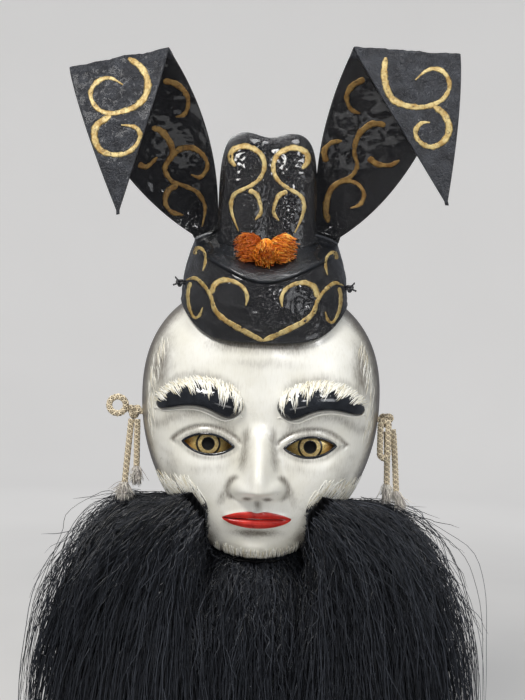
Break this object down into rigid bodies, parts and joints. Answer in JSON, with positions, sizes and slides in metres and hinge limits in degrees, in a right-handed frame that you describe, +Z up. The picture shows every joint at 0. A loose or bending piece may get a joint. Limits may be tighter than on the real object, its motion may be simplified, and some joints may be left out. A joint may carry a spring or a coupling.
{
  "type": "stage mask",
  "caption": "Moulded paper stage mask with a two-winged lacquered cap, gilt eyes, a long hanging beard, tassels and temple cords.",
  "frame": {"origin": "on the flat back plane of the mask, in the middle between the temples, level with the pupils", "axes": "+Z up, the face looks along -Y, +X to the right of someone facing the mask; y = 0 is the plane of the back rim"},
  "size_m": [0.38, 0.1173, 0.6774],
  "materials": {
    "painted_paper": "satin shell-white paint over layered paper",
    "brow_lacquer": "black lacquer, glossy",
    "gilt": "gilded, satin",
    "gauze": "fine black gauze, matte",
    "pad_felt": "matte felt",
    "band_cloth": "matte woven cloth",
    "hair": "coarse black horsehair, soft sheen",
    "cap_lacquer": "black lacquered crinkled paper, glossy, gold scrolls",
    "wire": "dark annealed wire",
    "tie_cord": "black twisted cord",
    "tassel_silk": "orange silk floss with gold thread",
    "braided_cord": "cream braided cord, matte",
    "frayed_cord": "frayed cord fibres, matte"
  },
  "bodies": {
    "mask": {"face_shell": "painted_paper", "brow_left": "brow_lacquer", "brow_right": "brow_lacquer", "eye_plate_left": "gilt", "eye_plate_right": "gilt", "sight_gauze_left": "gauze", "sight_gauze_right": "gauze", "forehead_pad": "pad_felt", "cheek_pad_left": "pad_felt", "cheek_pad_right": "pad_felt", "hair_band_left": "band_cloth", "hair_band_right": "band_cloth", "hair_band_chin": "band_cloth", "moustache_left": "hair", "moustache_right": "hair", "chin_tuft": "hair", "cap_band": "cap_lacquer", "cap_top": "cap_lacquer", "crest_front": "cap_lacquer", "crest_back": "cap_lacquer", "wing_left": "cap_lacquer", "wing_right": "cap_lacquer", "wing_wire_left": "wire", "wing_wire_right": "wire", "cap_tie_left": "tie_cord", "cap_tie_right": "tie_cord", "tassel_knot": "tassel_silk", "hanger_cord": "braided_cord", "cord_knot_left": "braided_cord", "cord_knot_right": "braided_cord"},
    "beard": {"beard_left": "hair", "beard_middle": "hair", "beard_right": "hair"},
    "tassels": {"tassel_left": "tassel_silk", "tassel_middle": "tassel_silk", "tassel_right": "tassel_silk"},
    "cords_left": {"cord_left_outer": "braided_cord", "cord_left_inner": "braided_cord", "cord_end_left_outer": "frayed_cord", "cord_end_left_inner": "frayed_cord"},
    "cords_right": {"cord_right_outer": "braided_cord", "cord_right_inner": "braided_cord", "cord_end_right_outer": "frayed_cord", "cord_end_right_inner": "frayed_cord"}
  },
  "joints": [
    {"name": "beard_swing", "type": "hinge", "parent": "mask", "child": "beard", "pos_m": [0, -0.045, -0.14], "axis": [-1, 0, 0], "range_deg": [0, 30]},
    {"name": "tassel_swing", "type": "hinge", "parent": "mask", "child": "tassels", "pos_m": [0, -0.072, 0.172], "axis": [-1, 0, 0], "range_deg": [0, 40]},
    {"name": "cord_left_swing", "type": "hinge", "parent": "mask", "child": "cords_left", "pos_m": [-0.1149, -0.018, 0.022], "axis": [-1, 0, 0], "range_deg": [0, 45]},
    {"name": "cord_right_swing", "type": "hinge", "parent": "mask", "child": "cords_right", "pos_m": [0.1149, -0.018, 0.022], "axis": [0, -1, 0], "range_deg": [0, 45]}
  ]
}
